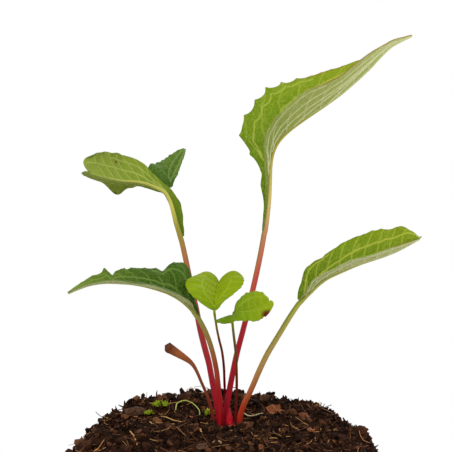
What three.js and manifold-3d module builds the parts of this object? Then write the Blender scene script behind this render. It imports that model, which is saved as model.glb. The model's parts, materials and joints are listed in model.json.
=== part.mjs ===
// A young coneflower in a clay pot: a rosette of stalked leaves that rises from a root crown
// in a heaped mound of potting soil. Millimetres, +Z up, origin at the centre of the pot's base.
import * as THREE from 'three';
import { ParametricGeometry } from 'three/addons/geometries/ParametricGeometry.js';
import { mergeVertices } from 'three/addons/utils/BufferGeometryUtils.js';
import Module from 'manifold-3d';

const wasm = await Module();
wasm.setup();

// Pot.
const potHeight = 149;
const rimRadius = 89.5;
const baseRadius = 62;
const wallThickness = 5;
const rimBandHeight = 26;
const rimBandProud = 3;
const floorThickness = 8;
const edgeRounding = 1.5;
const drainHoleRadius = 4.5;
const drainCircleRadius = 26;
const drainHoleCount = 3;
const firstDrainHoleTurn = 0.25;

// Soil.
const soilBelowRim = 1.5;
const moundRise = 25;
const moundSquareness = 12;

// Plant.
const crownRadius = 9.5;
const crownDepth = 4;
const taprootLength = 95;
const sideRootCount = 6;
const sideRootLength = 46;
const sideRootDrop = 34;
const sideRootBend = 0.35;
const sideRootRadius = 1.6;
const sideRootStagger = 5;
const leafThickness = 0.7;
const leafEdgeThickness = 0.25;

// Clearances.
const fitGap = 0.3;
const trimLift = 0.8;

// Facets.
const potFacets = 64;
const drillFacets = 20;
const soilFacets = 44;
const soilRingCount = 12;
const stalkFacets = 8;
const shootSteps = 10;
const bladeColumns = 6;
const strandFacets = 7;
const strandSteps = 8;
const sproutSteps = 16;
const rootFacets = 14;
const sideRootFacets = 6;
const sideRootSteps = 7;
const lumpSectors = 9;
const lumpBands = 6;

const bodyRadius = (z) => THREE.MathUtils.lerp(baseRadius, rimRadius - rimBandProud, z / potHeight);
const innerRadius = (z) => bodyRadius(z) - wallThickness;
const soilEdge = potHeight - soilBelowRim;
const soilRadius = innerRadius(soilEdge) - fitGap;

// Rises and dips of the mound: [x, y, height, spread].
const moundLumps = [
  [1, 0, -4, 9],
  [-18, 42, 4, 13],
  [12, 46, 2, 14],
  [-61, 12, -10, 13],
  [61, 10, -8, 14],
  [70, 3, 3, 4.5],
  [-38, 24, 1.5, 11],
  [40, 28, 1, 10],
];

function soilSurface(x, y) {
  const reach = Math.min(1, Math.hypot(x, y) / soilRadius);
  const dome = soilEdge + moundRise * (1 - reach ** moundSquareness);
  const lumps = moundLumps.map(([cx, cy, height, spread]) =>
    height * Math.exp(-((x - cx) ** 2 + (y - cy) ** 2) / (2 * spread ** 2)));
  // The lumps fade out at the wall, so the soil meets the pot at one level.
  const fade = 1 - reach ** moundSquareness;
  return dome + fade * lumps.reduce((sum, lump) => sum + lump, 0);
}

const crownTop = soilSurface(0, 0) + 1;

const paint = (color, roughness) => new THREE.MeshStandardMaterial({ color, roughness, metalness: 0 });
const terracotta = paint(0xb5643c, 0.85);
const peat = paint(0x2d1c16, 0.95);
const rootSkin = paint(0x6b4a33, 0.85);
const redStalk = paint(0xa82a40, 0.45);
const greenStalk = paint(0x9a9a4a, 0.5);
const leafGreen = paint(0x789c22, 0.5);
const darkLeaf = paint(0x376428, 0.5);
const youngLeaf = paint(0x96b428, 0.5);
const witheredSkin = paint(0x7a4020, 0.7);
const budRed = paint(0xb01020, 0.4);
const bark = paint(0x4a3022, 0.9);
const litterTan = paint(0x8a5a36, 0.85);
const straw = paint(0xb98a4e, 0.8);
const mossGreen = paint(0x6f8a2c, 0.8);
const sproutGreen = paint(0xb7c878, 0.5);

// A closed solid through a list of rings of equal count, each turning anticlockwise about the
// direction in which the rings advance. The first and last rings shrink to a point.
function closedLoft(rings) {
  const around = rings[0].length;
  const along = rings.length - 1;
  const pick = (u, v, target) => {
    const ring = rings[Math.round(v * along)];
    target.copy(ring[Math.round(u * around) % around]);
  };
  const geometry = new ParametricGeometry(pick, around, along);
  geometry.deleteAttribute('normal');
  geometry.deleteAttribute('uv');
  return mergeVertices(geometry, 1e-4);
}

const pointRing = (point, count) => Array.from({ length: count }, () => point.clone());

function toSolid(geometry) {
  return new wasm.Manifold(new wasm.Mesh({
    numProp: 3,
    vertProperties: new Float32Array(geometry.attributes.position.array),
    triVerts: new Uint32Array(geometry.index.array),
  }));
}

function toGeometry(solid) {
  const mesh = solid.getMesh();
  const geometry = new THREE.BufferGeometry();
  geometry.setAttribute('position', new THREE.BufferAttribute(mesh.vertProperties, 3));
  geometry.setIndex(new THREE.BufferAttribute(mesh.triVerts, 1));
  return geometry;
}

function indexed(geometry) {
  geometry.deleteAttribute('normal');
  geometry.deleteAttribute('uv');
  return mergeVertices(geometry, 1e-4);
}

// A round tube through points, with its own radius at each of them and pointed ends.
function taperedTube(points, radii, facets, steps) {
  const curve = new THREE.CatmullRomCurve3(points);
  const radiusAt = smoothValues(radii);
  const frame = steadyFrame(curve);
  const rings = [];
  for (let i = 0; i <= steps; i += 1) {
    const t = i / steps;
    const { centre, across, up } = frame(t);
    const ring = [];
    for (let k = 0; k < facets; k += 1) {
      const angle = (2 * Math.PI * k) / facets;
      ring.push(centre.clone()
        .addScaledVector(up, radiusAt(t) * Math.cos(angle))
        .addScaledVector(across, radiusAt(t) * Math.sin(angle)));
    }
    rings.push(ring);
  }
  return closedLoft([pointRing(curve.getPoint(0), facets), ...rings, pointRing(curve.getPoint(1), facets)]);
}

// A smooth curve through values spaced evenly over 0 to 1.
function smoothValues(values) {
  const curve = new THREE.CatmullRomCurve3(values.map((value) => new THREE.Vector3(value, 0, 0)));
  return (t) => curve.getPoint(t).x;
}

// Sides of a curve's cross-section, held steady by one fixed direction that the curve never follows.
function steadyFrame(curve) {
  const ends = curve.getPoint(1).sub(curve.getPoint(0)).normalize();
  const steady = Math.abs(ends.y) < 0.8 ? new THREE.Vector3(0, 1, 0) : new THREE.Vector3(1, 0, 0);
  return (t) => {
    const along = curve.getTangent(t);
    const across = along.clone().cross(steady).normalize();
    const up = across.clone().cross(along).normalize();
    return { centre: curve.getPoint(t), along, across, up };
  };
}

function potGeometry() {
  const bandFoot = potHeight - rimBandHeight;
  const profile = [
    [0, 0],
    [baseRadius - edgeRounding, 0],
    [baseRadius, edgeRounding],
    [bodyRadius(bandFoot), bandFoot],
    [rimRadius - edgeRounding, bandFoot + edgeRounding],
    [rimRadius, bandFoot + 2 * edgeRounding],
    [rimRadius, potHeight - edgeRounding],
    [rimRadius - edgeRounding, potHeight],
    [innerRadius(potHeight) + edgeRounding, potHeight],
    [innerRadius(potHeight), potHeight - edgeRounding],
    [innerRadius(floorThickness), floorThickness + edgeRounding],
    [innerRadius(floorThickness) - edgeRounding, floorThickness],
    [0, floorThickness],
  ];
  const shell = indexed(new THREE.LatheGeometry(profile.map(([r, z]) => new THREE.Vector2(r, z)), potFacets));
  shell.rotateX(Math.PI / 2);
  let solid = toSolid(shell);
  for (let i = 0; i < drainHoleCount; i += 1) {
    const length = 3 * floorThickness;
    const drill = indexed(new THREE.CylinderGeometry(drainHoleRadius, drainHoleRadius, length, drillFacets));
    drill.rotateX(Math.PI / 2);
    drill.translate(drainCircleRadius, 0, 0);
    drill.rotateZ((2 * Math.PI * (i + firstDrainHoleTurn)) / drainHoleCount);
    solid = solid.subtract(toSolid(drill));
  }
  return toGeometry(solid);
}

// The root crown with its taproot and side roots, grown outwards by a margin.
function rootSolid(margin) {
  const taproot = [
    [crownTop - taprootLength, 1],
    [crownTop - 0.75 * taprootLength, 2.5],
    [crownTop - 0.4 * taprootLength, 5],
    [crownTop - 2.5 * crownDepth, 0.85 * crownRadius],
    [crownTop - crownDepth, crownRadius],
    [crownTop - 0.3 * crownDepth, 0.85 * crownRadius],
  ];
  const ring = ([z, radius]) => Array.from({ length: rootFacets }, (_, k) => {
    const angle = (2 * Math.PI * k) / rootFacets;
    const reach = radius + margin;
    const lift = z < crownTop - crownDepth ? 0 : margin;
    return new THREE.Vector3(reach * Math.cos(angle), reach * Math.sin(angle), z + lift);
  });
  const tip = new THREE.Vector3(0, 0, crownTop - taprootLength - 2 - margin);
  const crest = new THREE.Vector3(0, 0, crownTop + margin);
  const rings = [pointRing(tip, rootFacets), ...taproot.map(ring), pointRing(crest, rootFacets)];
  let solid = toSolid(closedLoft(rings));
  for (let i = 0; i < sideRootCount; i += 1) {
    const heading = (2 * Math.PI * i) / sideRootCount;
    const start = crownTop - 2 * crownDepth - sideRootStagger * (i % 3);
    const route = [0, 0.35, 0.7, 1].map((share) => {
      const reach = share * sideRootLength;
      const turn = heading + sideRootBend * share * (i % 2 ? 1 : -1);
      const level = start - sideRootDrop * share ** 1.4;
      return new THREE.Vector3(reach * Math.cos(turn), reach * Math.sin(turn), level);
    });
    // The margin lengthens the root straight on past its tip.
    route[3].add(route[3].clone().sub(route[2]).setLength(margin));
    const radii = [1, 0.85, 0.65, 0.35].map((share) => share * sideRootRadius + margin);
    solid = solid.add(toSolid(taperedTube(route, radii, sideRootFacets, sideRootSteps)));
  }
  return solid;
}

function soilGeometry() {
  const ring = (radius, height) => Array.from({ length: soilFacets }, (_, k) => {
    const angle = (2 * Math.PI * k) / soilFacets;
    const x = radius * Math.cos(angle);
    const y = radius * Math.sin(angle);
    return new THREE.Vector3(x, y, height ?? soilSurface(x, y));
  });
  const bottom = floorThickness + edgeRounding;
  const rings = [
    pointRing(new THREE.Vector3(0, 0, bottom), soilFacets),
    ring(innerRadius(bottom) - fitGap - edgeRounding, bottom),
    ring(soilRadius, soilEdge),
  ];
  for (let i = 1; i < soilRingCount; i += 1) {
    rings.push(ring(soilRadius * (1 - (i / soilRingCount) ** 1.35)));
  }
  rings.push(pointRing(new THREE.Vector3(0, 0, soilSurface(0, 0)), soilFacets));
  return toGeometry(toSolid(closedLoft(rings)).subtract(rootSolid(fitGap)));
}

// Leaves. Every point is taken from the top of the root crown. A stalk's stations are [x, y, z].
// A blade's stations follow its midrib: [x, y, z, half-width on the left, half-width on the right],
// as seen by someone who looks along the midrib with the upper side up. upAtBase and upAtTip say
// where the upper side faces. folds are how far the left and right halves rise out of flat, in
// degrees.
const leaves = {
  tall_leaf: {
    stalk: [[0.6, 1.8, 0.4], [1.2, 2.4, 9], [2.6, 3.2, 18], [6.4, 6, 36.6], [10.6, 9, 52.2], [14.3, 12, 67.5],
      [17.8, 14, 83.1]],
    midrib: [[20.6, 16, 98.3, 1, 1], [22.6, 18, 113.4, 2, 2], [24.2, 19, 126.1, 4, 3.5],
      [25.6, 20, 134.4, 10, 8], [28.2, 21, 141, 20.5, 17], [32.4, 22, 146, 23.5, 23],
      [38.9, 23, 151.1, 25.5, 25], [49, 25, 157.9, 23.5, 23], [61.8, 27, 167, 16.5, 19.5],
      [75.7, 29, 179.6, 8, 13.8], [86, 31, 190.2, 3, 6.5], [96.9, 33, 196, 0.8, 0.8]],
    upAtBase: [-0.8, -0.25, 0.2],
    upAtTip: [-0.66, -0.25, 0.75],
    folds: [41, 41],
    stalkRadii: [1.65, 1.6, 1.5, 1.5, 1.4, 1.3, 1.2, 0.9, 0.6, 0.35],
    blade: leafGreen,
    skin: redStalk,
  },
  right_leaf: {
    stalk: [[7.1, 0, 1.5], [9.4, -1, 10.5], [13.6, -3, 20.1], [17.4, -5, 29.6], [21.6, -7, 38.9],
      [26.9, -9, 48.3], [32.7, -12, 58.6]],
    midrib: [[37.6, -14, 66.2, 2, 1], [42.4, -16, 71.5, 7.5, 4], [48.2, -18, 75.7, 10, 9],
      [59.7, -21, 81.5, 12.5, 14], [67.9, -23, 85.2, 14.2, 15], [78.3, -26, 89, 14.2, 13.5],
      [85.9, -28, 92.7, 12, 10.5], [90.5, -29.5, 95.6, 10.5, 6.5], [95, -31, 98.6, 0.6, 0.6]],
    upAtBase: [-0.6, -0.35, 0.72],
    upAtTip: [-0.28, -0.38, 0.88],
    folds: [32, 40],
    stalkRadii: [1.6, 1.5, 1.5, 1.4, 1.3, 1.2, 0.9, 0.6, 0.4],
    blade: leafGreen,
    skin: redStalk,
  },
  left_leaf: {
    stalk: [[-2, -2.6, 1], [-1.8, -3, 13], [-2.6, -3.6, 20.1], [-3.6, -5, 29.6], [-5.4, -7, 38.9],
      [-8, -9, 47.8], [-10.9, -11, 54.5]],
    midrib: [[-13.4, -13, 59, 1, 1], [-16.3, -14, 63.2, 3, 4.5], [-20.2, -16, 66.5, 8, 14.5],
      [-25.1, -17, 68.9, 11, 18.5], [-32.4, -19, 71.7, 11.5, 12.5], [-41.1, -21, 74.2, 11.5, 9.5],
      [-49.8, -23, 75.5, 11, 7.8], [-58.5, -25, 76.1, 9.5, 5.8], [-66.1, -27, 75.2, 6.5, 3.4],
      [-75.5, -29, 71.8, 0.6, 0.6]],
    upAtBase: [0.6, -0.3, 0.74],
    upAtTip: [-0.15, -0.3, 0.94],
    folds: [28, 28],
    stalkRadii: [1.45, 1.4, 1.35, 1.3, 1.2, 1.1, 0.8, 0.55, 0.35],
    blade: darkLeaf,
    skin: redStalk,
  },
  back_leaf: {
    stalk: [[-2, 5.6, 1], [-4.2, 6.2, 13.9], [-6.1, 7, 22.9], [-7.8, 8, 31.9], [-11.4, 9.5, 45.3],
      [-14.5, 11, 60.6], [-16.8, 12, 70.7], [-19.3, 13, 83.3]],
    midrib: [[-22.1, 14, 95.4, 2, 2], [-24.4, 15, 102.5, 4, 3.6], [-26.9, 15, 110.1, 5, 4.4],
      [-30, 15, 116.8, 3.5, 4.5], [-35, 14, 119.9, 5, 9.5], [-40.4, 12, 122.1, 9.5, 13.5],
      [-43.9, 11, 122.9, 12.5, 15], [-51.3, 8, 123.6, 14, 15.5], [-59.6, 4, 125.6, 11.5, 15],
      [-63.5, 1.8, 127, 9.5, 14.5], [-66, 0.5, 128, 7.5, 12]],
    upAtBase: [0.3, 0.9, 0.1],
    upAtTip: [0.05, 0.91, 0.41],
    folds: [50, 50],
    stalkRadii: [1.6, 1.5, 1.5, 1.4, 1.3, 1.2, 1.1, 0.9, 0.6, 0.4],
    blade: leafGreen,
    skin: redStalk,
  },
  heart_leaf: {
    stalk: [[1, 6.4, 2.5], [0.9, 7, 11.4], [0.3, 4, 20], [0, -6, 31], [-0.9, -14, 41], [-2.8, -21.5, 50.6],
      [-4.1, -27, 59.3]],
    midrib: [[-4.7, -29, 63.6, 0.8, 0.8], [-4.5, -27.2, 64.7, 5, 2.2], [-4.3, -25, 66, 10, 4],
      [-3.9, -21.6, 68, 14.4, 7.6], [-3.4, -17.8, 70.2, 16, 11.5], [-3, -14, 72.6, 15, 13.2],
      [-2.5, -10.2, 74.9, 10.5, 12.2]],
    upAtBase: [0, -0.55, 0.83],
    upAtTip: [0, -0.52, 0.85],
    folds: [12, 14],
    stalkRadii: [0.65, 0.62, 0.6, 0.6, 0.5, 0.4],
    blade: youngLeaf,
    skin: redStalk,
  },
  small_leaf: {
    stalk: [[5.7, -6.2, 1], [5.9, -7.4, 7.4], [6.3, -10, 21.3], [6.2, -14, 31.2], [5.8, -18, 40.8],
      [4.8, -24, 50.5], [4.2, -28.5, 56.9]],
    midrib: [[4.3, -31.5, 61.7, 0.8, 1.5], [6, -32.4, 63, 2.5, 5.5], [8.5, -33.2, 64.5, 6, 8.8],
      [12, -34, 65.6, 8.5, 10.6], [15.5, -35, 66.7, 8.5, 12], [19.1, -36, 68.2, 6.5, 12.6],
      [21.8, -37, 69.3, 1.5, 10.5]],
    upAtBase: [0, -0.6, 0.8],
    upAtTip: [-0.1, -0.6, 0.79],
    folds: [8, 6],
    stalkRadii: [0.75, 0.72, 0.7, 0.65, 0.5, 0.35],
    blade: youngLeaf,
    skin: greenStalk,
  },
};

// A second, smaller blade grows beside the back leaf, from the top of its winged stalk.
const sideBlade = {
  midrib: [[-27.6, 23.5, 119.6, 1.2, 1.2], [-27.4, 26.5, 123.1, 7, 2], [-26.5, 30, 125.8, 9.5, 2.5],
    [-25.1, 33.5, 129.2, 7.5, 2.5], [-23.4, 37, 132.8, 5, 2.2], [-21.9, 40, 135.7, 3, 1.6],
    [-20.8, 42.5, 137.8, 0.7, 0.7]],
  upAtBase: [0.2, -0.95, 0.1],
  upAtTip: [0.2, -0.85, 0.45],
  folds: [10, 45],
  midribRadius: 0.5,
};

const vector = (list) => new THREE.Vector3(...list);
const fromCrown = ([x, y, z]) => new THREE.Vector3(x, y, z + crownTop);

// A blade is a thin lens in section. Its two halves rise at the fold angle from the midrib line.
function bladeGeometry(leaf, clearance) {
  const midline = new THREE.CatmullRomCurve3(leaf.midrib.map(fromCrown));
  const leftWidth = smoothValues(leaf.midrib.map((station) => station[3]));
  const rightWidth = smoothValues(leaf.midrib.map((station) => station[4]));
  const folds = leaf.folds.map(THREE.MathUtils.degToRad);
  const steps = 2 * (leaf.midrib.length - 1);
  const rings = [];
  for (let i = 0; i <= steps; i += 1) {
    const t = i / steps;
    const along = midline.getTangent(t);
    const up = vector(leaf.upAtBase).lerp(vector(leaf.upAtTip), t);
    up.addScaledVector(along, -up.dot(along)).normalize();
    const across = along.clone().cross(up);
    const rise = clearance(t) + leafThickness / 2;
    const place = (share, lift) => {
      const [width, fold] = share < 0 ? [leftWidth(t), folds[0]] : [rightWidth(t), folds[1]];
      const reach = Math.abs(share) * width;
      return midline.getPoint(t)
        .addScaledVector(across, Math.sign(share) * reach * Math.cos(fold))
        .addScaledVector(up, rise + lift + reach * Math.sin(fold));
    };
    const thickness = (share) => THREE.MathUtils.lerp(leafThickness, leafEdgeThickness, share ** 2) / 2;
    const upper = [];
    const lower = [];
    for (let k = 0; k <= bladeColumns; k += 1) {
      const share = (2 * k) / bladeColumns - 1;
      upper.push(place(share, thickness(share)));
      lower.unshift(place(share, -thickness(share)));
    }
    rings.push([...upper, ...lower]);
  }
  const count = 2 * (bladeColumns + 1);
  const end = (t) => {
    const up = vector(t ? leaf.upAtTip : leaf.upAtBase);
    const along = midline.getTangent(t);
    up.addScaledVector(along, -up.dot(along)).normalize();
    return pointRing(midline.getPoint(t)
      .addScaledVector(up, clearance(t) + leafThickness / 2)
      .addScaledVector(along, t ? leafThickness : -leafThickness), count);
  };
  return closedLoft([end(0), ...rings, end(1)]);
}

// A young bud's sheath at the crown, and the withered stalk of an older leaf: [x, y, z, radius].
const budSheath = [[3, -4.6, 0.6, 1], [3.1, -4.6, 3, 1.8], [3, -4.5, 6, 1.6], [2.8, -4.2, 9, 0.9],
  [2.7, -4, 11, 0.3]];
const witheredStalk = [[-4.8, -4.6, 1.4, 1.1], [-6.8, -6, 12.5, 0.9], [-9, -7, 19.1, 0.8],
  [-12, -9, 26.6, 0.75], [-14.2, -10, 31.9, 0.8], [-16.8, -11, 35.6, 1], [-20.8, -12, 38.6, 1.3],
  [-27.4, -13, 43, 1.5]];

// Litter on the soil. Strands are [x, y] pairs that they lie along, with a radius; lumps are
// [x, y, length, width, height, heading in degrees]; chips stand at a tilt as well.
const strands = {
  straw_left: { route: [[-32, 8], [-26, 0], [-20, -9]], radius: 0.45, material: straw },
  straw_far_left: { route: [[-49, 4], [-47, -20], [-43.5, -38], [-41.5, -50]], radius: 0.4, material: straw },
  straw_short: { route: [[-38, -1], [-36, -7], [-34.5, -13]], radius: 0.4, material: straw },
  straw_centre: { route: [[-12, -21], [-11, -29], [-10, -36]], radius: 0.45, material: straw },
  straw_front: { route: [[0.5, -38.5], [9, -40], [17, -38.5]], radius: 0.4, material: straw },
  straw_right: { route: [[22, -43.5], [27, -42.5], [32, -39]], radius: 0.4, material: straw },
  pale_rootlet: { route: [[9, 17], [12.5, 12], [15.5, 11.5], [20, 14]], radius: 0.5, material: sproutGreen },
  bark_fibre: { route: [[-22.5, 16], [-19, 9], [-15, 4]], radius: 0.5, material: litterTan },
  twig: { route: [[-11, 37], [-15, 40], [-19.5, 42]], radius: 0.9, material: bark },
};
const lumps = {
  bark_chunk: { place: [-45.5, 23, 13, 6, 4, 5], material: bark },
  round_clod: { place: [-20.5, 33, 8, 6, 4.5, 0], material: bark },
  right_clod: { place: [68.5, -9, 8, 7, 5.5, 20], material: bark },
  wood_chip: { place: [-3, -50, 4.5, 3, 1.8, 10], material: straw },
  moss_tuft: { place: [-32.5, 23, 8, 5, 3, 0], material: mossGreen },
  moss_sprig: { place: [-38.5, 15, 3.5, 3, 2.2, 0], material: mossGreen },
  moss_strip: { place: [-7.5, 14, 9, 3.5, 2, -70], material: mossGreen },
};
const chips = {
  litter_chip: { place: [26, 12, 8, 6.5, 0.8, 20], tilt: 25, material: litterTan },
  litter_chip_small: { place: [41, 14, 6, 3.5, 0.8, 35], tilt: 20, material: litterTan },
  bark_chip_upright: { place: [21.5, 37, 5.5, 3.5, 1, 0], tilt: 65, material: bark },
  bark_chip_right: { place: [42.5, -30, 4.5, 3, 1, 60], tilt: 15, material: litterTan },
  bark_chip_back: { place: [-10, -62, 6, 4, 1, 30], tilt: 10, material: bark },
};
// The curling stalk of a weed seedling: [x, y, height above the soil].
const sproutRoute = [[-25, 19, 1.4], [-24.2, 24, 4.5], [-20.5, 25.5, 6], [-17, 24.5, 5], [-13, 17, 3],
  [-12.4, 8, 1.4]];
const sproutRadius = 0.55;

const onSoil = (x, y, lift) => new THREE.Vector3(x, y, soilSurface(x, y) + lift);

// A smooth lump, resting on the soil.
function lumpGeometry([x, y, length, width, height, heading]) {
  const ball = indexed(new THREE.SphereGeometry(0.5, lumpSectors, lumpBands));
  ball.scale(length, width, height);
  return laid(ball, x, y, heading, 0, height / 2 + trimLift);
}

// A flat chip with a pointed outline, resting on the soil at a tilt.
function chipGeometry([x, y, length, width, thickness, heading], tilt) {
  const outline = new THREE.Shape([[-0.5, -0.3], [0.1, -0.5], [0.5, 0.05], [0.2, 0.45], [-0.35, 0.5]]
    .map(([along, across]) => new THREE.Vector2(along * length, across * width)));
  const slab = indexed(new THREE.ExtrudeGeometry(outline, { depth: thickness, bevelEnabled: false }));
  slab.translate(0, 0, -thickness / 2);
  const rise = (width / 2) * Math.sin(THREE.MathUtils.degToRad(tilt));
  return laid(slab, x, y, heading, tilt, rise + thickness + trimLift);
}

// Turns a piece to lie along the slope of the soil at x, y.
function laid(geometry, x, y, heading, tilt, lift) {
  const probe = 2;
  const slope = new THREE.Vector3(
    soilSurface(x - probe, y) - soilSurface(x + probe, y),
    soilSurface(x, y - probe) - soilSurface(x, y + probe),
    2 * probe,
  ).normalize();
  geometry.rotateX(THREE.MathUtils.degToRad(tilt));
  geometry.rotateZ(THREE.MathUtils.degToRad(heading));
  geometry.applyQuaternion(new THREE.Quaternion().setFromUnitVectors(new THREE.Vector3(0, 0, 1), slope));
  const at = onSoil(x, y, lift);
  geometry.translate(at.x, at.y, at.z);
  return geometry;
}

const plant = new THREE.Group();

function addPiece(name, geometry, material) {
  const mesh = new THREE.Mesh(geometry, material);
  mesh.name = name;
  plant.add(mesh);
}

function addLeaf(name, leaf) {
  const stations = [...leaf.stalk, ...leaf.midrib].map(fromCrown);
  const stalkShare = leaf.stalk.length / (stations.length - 1);
  const radiusAt = smoothValues(leaf.stalkRadii);
  const radii = stations.map((_, i) => radiusAt(i / (stations.length - 1)));
  const stalk = taperedTube(stations, radii, stalkFacets, Math.round(1.6 * stations.length));
  // The folded halves pass the round rib at their own slant.
  const slant = Math.cos(THREE.MathUtils.degToRad(Math.max(...leaf.folds)));
  const clearance = (t) => (fitGap + radiusAt(stalkShare + (1 - stalkShare) * t)) / slant;
  addPiece(`${name}_stem`, stalk, leaf.skin);
  addPiece(`${name}_blade`, bladeGeometry(leaf, clearance), leaf.blade);
}

addPiece('pot', potGeometry(), terracotta);
addPiece('soil', soilGeometry(), peat);
addPiece('root_crown', toGeometry(rootSolid(0)), rootSkin);
for (const [name, leaf] of Object.entries(leaves)) {
  addLeaf(name, leaf);
}
addPiece('back_leaf_side_blade', bladeGeometry(sideBlade, () => sideBlade.midribRadius), darkLeaf);

const shoot = (stations) => {
  const radii = stations.map((station) => station[3]);
  return taperedTube(stations.map(fromCrown), radii, stalkFacets, shootSteps);
};
addPiece('withered_stem', shoot(witheredStalk), witheredSkin);
addPiece('bud_sheath', shoot(budSheath), budRed);

for (const [name, { route, radius, material }] of Object.entries(strands)) {
  const line = new THREE.CatmullRomCurve3(route.map(([x, y]) => new THREE.Vector3(x, y, 0)));
  const points = line.getPoints(strandSteps).map(({ x, y }) => onSoil(x, y, radius + trimLift));
  const radii = [0.7 * radius, radius, 0.7 * radius];
  addPiece(name, taperedTube(points, radii, strandFacets, strandSteps), material);
}
for (const [name, { place, material }] of Object.entries(lumps)) {
  addPiece(name, lumpGeometry(place), material);
}
for (const [name, { place, tilt, material }] of Object.entries(chips)) {
  addPiece(name, chipGeometry(place, tilt), material);
}
addPiece('weed_sprout', taperedTube(
  sproutRoute.map(([x, y, height]) => onSoil(x, y, height)),
  [sproutRadius, sproutRadius, 0.6 * sproutRadius],
  strandFacets,
  sproutSteps,
), sproutGreen);

export default plant;
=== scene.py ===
"""The looks of a young coneflower in a clay pot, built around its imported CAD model.

Every place and size comes from the CAD nodes. The leaves and stalks are lofts there, so their
rings give the line, the width and the fold that each finer piece here follows.
"""
import json
import math

import bmesh
import bpy
import numpy as np
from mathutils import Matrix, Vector, kdtree, noise
from mathutils.bvhtree import BVHTree


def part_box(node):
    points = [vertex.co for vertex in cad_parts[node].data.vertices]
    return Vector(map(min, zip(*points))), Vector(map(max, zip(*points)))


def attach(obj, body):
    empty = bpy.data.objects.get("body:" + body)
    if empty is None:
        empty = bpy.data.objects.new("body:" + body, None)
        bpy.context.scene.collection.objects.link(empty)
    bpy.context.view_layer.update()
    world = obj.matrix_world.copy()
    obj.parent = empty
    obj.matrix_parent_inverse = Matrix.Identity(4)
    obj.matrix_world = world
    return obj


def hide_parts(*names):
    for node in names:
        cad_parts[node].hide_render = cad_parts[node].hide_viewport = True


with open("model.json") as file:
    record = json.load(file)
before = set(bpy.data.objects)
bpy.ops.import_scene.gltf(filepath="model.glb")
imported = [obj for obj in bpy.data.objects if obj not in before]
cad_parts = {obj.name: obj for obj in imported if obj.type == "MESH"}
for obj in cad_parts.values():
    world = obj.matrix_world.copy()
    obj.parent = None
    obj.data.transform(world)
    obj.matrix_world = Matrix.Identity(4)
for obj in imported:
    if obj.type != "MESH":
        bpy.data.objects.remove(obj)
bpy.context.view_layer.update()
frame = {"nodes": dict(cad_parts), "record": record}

MM = 0.001
RNG = np.random.default_rng(20)

# The camera stands level with the leaves and looks slightly down on them.
VIEW_TARGET = (1 * MM, 0, 272 * MM)
VIEW_DISTANCE = 0.9
VIEW_ELEVATION = math.radians(6)
VIEW_WIDTH = 0.226


# --- Colours and shader nodes ------------------------------------------------------------------

def rgb(red, green, blue):
    """A linear colour from display values of 0 to 255."""
    def linear(value):
        value /= 255
        return value / 12.92 if value <= 0.04045 else ((value + 0.055) / 1.055) ** 2.4
    return (linear(red), linear(green), linear(blue), 1)


def add(tree, kind, inputs=None, **settings):
    """A new node with its inputs and settings."""
    node = tree.nodes.new("ShaderNode" + kind)
    for key, value in settings.items():
        setattr(node, key, value)
    feed(node, inputs or {})
    return node


def feed(node, inputs):
    """Sets a node's inputs, each to a plain value or by a link from an output socket."""
    for key, value in inputs.items():
        if isinstance(value, bpy.types.NodeSocket):
            node.id_data.links.new(value, node.inputs[key])
        else:
            node.inputs[key].default_value = value


def mix(tree, factor, first, second, blend="MIX"):
    """Two colours mixed by a factor."""
    node = add(tree, "Mix", {0: factor, 6: first, 7: second}, data_type="RGBA", blend_type=blend)
    return node.outputs[2]


def calc(tree, operation, first, second=0.0):
    """One step of arithmetic, held between 0 and 1."""
    node = add(tree, "Math", {0: first, 1: second}, operation=operation, use_clamp=True)
    return node.outputs[0]


def times(tree, first, second):
    return calc(tree, "MULTIPLY", first, second)


def plus(tree, first, second):
    return calc(tree, "ADD", first, second)


def shaded(tree, factor, color, by):
    """A colour made darker by another, as far as the factor says."""
    return mix(tree, factor, color, (*by, 1), "MULTIPLY")


def ramp(tree, factor, stops):
    """A colour that follows a factor through (position, colour) stops."""
    node = add(tree, "ValToRGB", {"Fac": factor})
    elements = node.color_ramp.elements
    while len(elements) < len(stops):
        elements.new(0.5)
    for element, (position, color) in zip(elements, stops):
        element.position = position
        element.color = color
    return node.outputs["Color"]


def stored(tree, name, output="Fac"):
    """A value kept on the mesh."""
    return add(tree, "Attribute", attribute_name=name).outputs[output]


def place(tree):
    """Where a point is, in metres."""
    return add(tree, "TexCoord").outputs["Object"]


def speckle(tree, vector, scale, detail=3, roughness=0.55):
    inputs = {"Vector": vector, "Scale": scale, "Detail": detail, "Roughness": roughness}
    return add(tree, "TexNoise", inputs).outputs["Fac"]


def stretched(tree, vector, scale):
    return add(tree, "Mapping", {"Vector": vector, "Scale": scale}).outputs["Vector"]


def finish_material(name, build, **sockets):
    """A material whose build function returns its colour, roughness and bump height."""
    material, shader = new_material(name)
    tree = material.node_tree
    color, rough, height, depth = build(tree)
    bump = add(tree, "Bump", {"Height": height, "Strength": 1.0, "Distance": depth})
    feed(shader, {"Base Color": color, "Roughness": rough, "Normal": bump.outputs["Normal"]})
    feed(shader, {key.replace("_", " "): value for key, value in sockets.items()})
    return material


def new_material(name):
    material = bpy.data.materials.new(name)
    material.use_nodes = True
    return material, material.node_tree.nodes["Principled BSDF"]


# --- Reading the CAD lofts ---------------------------------------------------------------------

def welded(node):
    """The node's points with no doubles, and the points next to each."""
    mesh = frame["nodes"][node].data
    flat = np.empty(len(mesh.vertices) * 3)
    mesh.vertices.foreach_get("co", flat)
    points, index = np.unique(np.round(flat.reshape(-1, 3) * 1e6), axis=0, return_inverse=True)
    index = index.ravel()
    near = [set() for _ in points]
    for face in mesh.polygons:
        corners = [index[i] for i in face.vertices]
        for a, b in zip(corners, corners[1:] + corners[:1]):
            if a != b:
                near[a].add(b)
                near[b].add(a)
    return points / 1e6, near


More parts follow.
